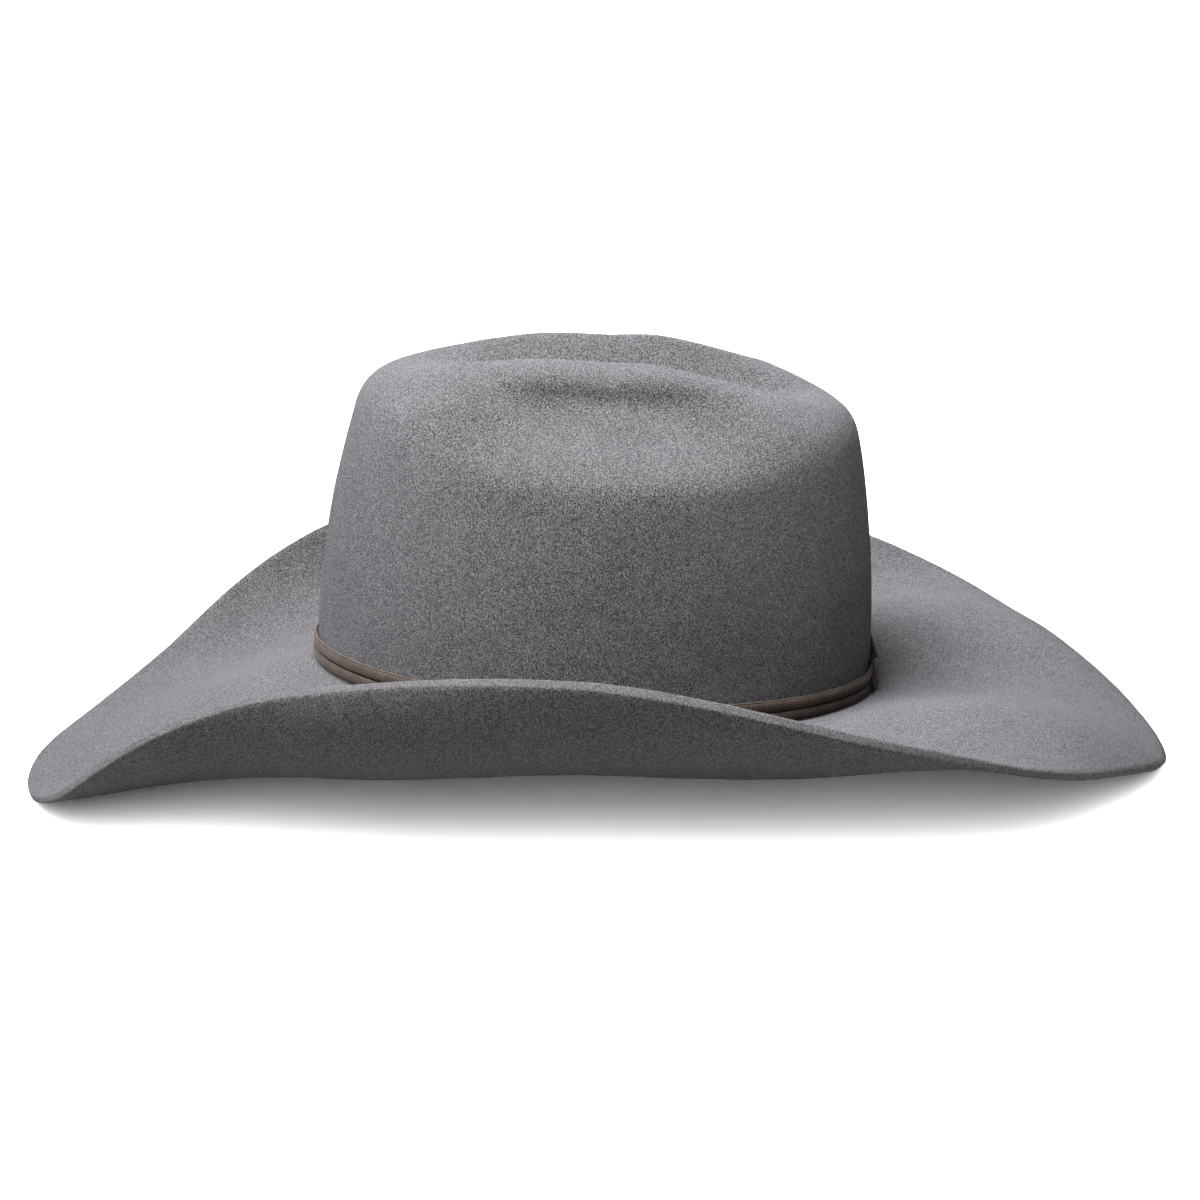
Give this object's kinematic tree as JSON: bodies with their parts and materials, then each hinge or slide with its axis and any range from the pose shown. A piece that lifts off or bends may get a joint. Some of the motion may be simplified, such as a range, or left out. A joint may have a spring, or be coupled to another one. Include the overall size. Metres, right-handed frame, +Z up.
{
  "type": "western hat",
  "caption": "Grey felt western hat with a creased crown, a brim rolled up at both sides, a narrow corded ribbon band, a leather sweatband and a satin lining.",
  "frame": {"origin": "on the ground under the middle of the hat's box, with the hat resting on the front and back of its brim", "axes": "+Z up, -Y towards the front of the hat, +X towards the wearer's left"},
  "size_m": [0.3814, 0.422, 0.1548],
  "materials": {
    "felt": "heathered wool felt, matt",
    "band_ribbon": "grosgrain ribbon",
    "band_cord": "ribbed grosgrain cord",
    "thread_dark": "thread",
    "bow_ribbon": "grosgrain ribbon",
    "sweatband_leather": "smooth roan leather",
    "reed_plastic": "satin",
    "reed_tape": "woven cotton tape",
    "thread_light": "thread",
    "satin_ribbon": "satin ribbon",
    "lining_satin": "satin",
    "lining_piping": "corded satin",
    "shield_plastic": "clear film",
    "tag_paper": "blank woven paper"
  },
  "bodies": {
    "root": {"felt_body": "felt", "band_ribbon": "band_ribbon", "band_cord_lower": "band_cord", "band_cord_upper": "band_cord", "band_tack_left": "thread_dark", "band_tack_right": "thread_dark", "band_tack_front": "thread_dark", "bow_loop_left": "bow_ribbon", "bow_loop_right": "bow_ribbon", "bow_tail_left": "bow_ribbon", "bow_tail_right": "bow_ribbon", "bow_knot": "bow_ribbon", "sweatband": "sweatband_leather", "sweatband_seam_patch": "sweatband_leather", "sweatband_reed": "reed_plastic", "reed_tape": "reed_tape", "sweatband_stitching": "thread_light", "sweatband_bow": "satin_ribbon", "lining_side": "lining_satin", "lining_tip": "lining_satin", "lining_piping": "lining_piping", "lining_shield": "shield_plastic", "size_tag": "tag_paper"}
  },
  "joints": []
}
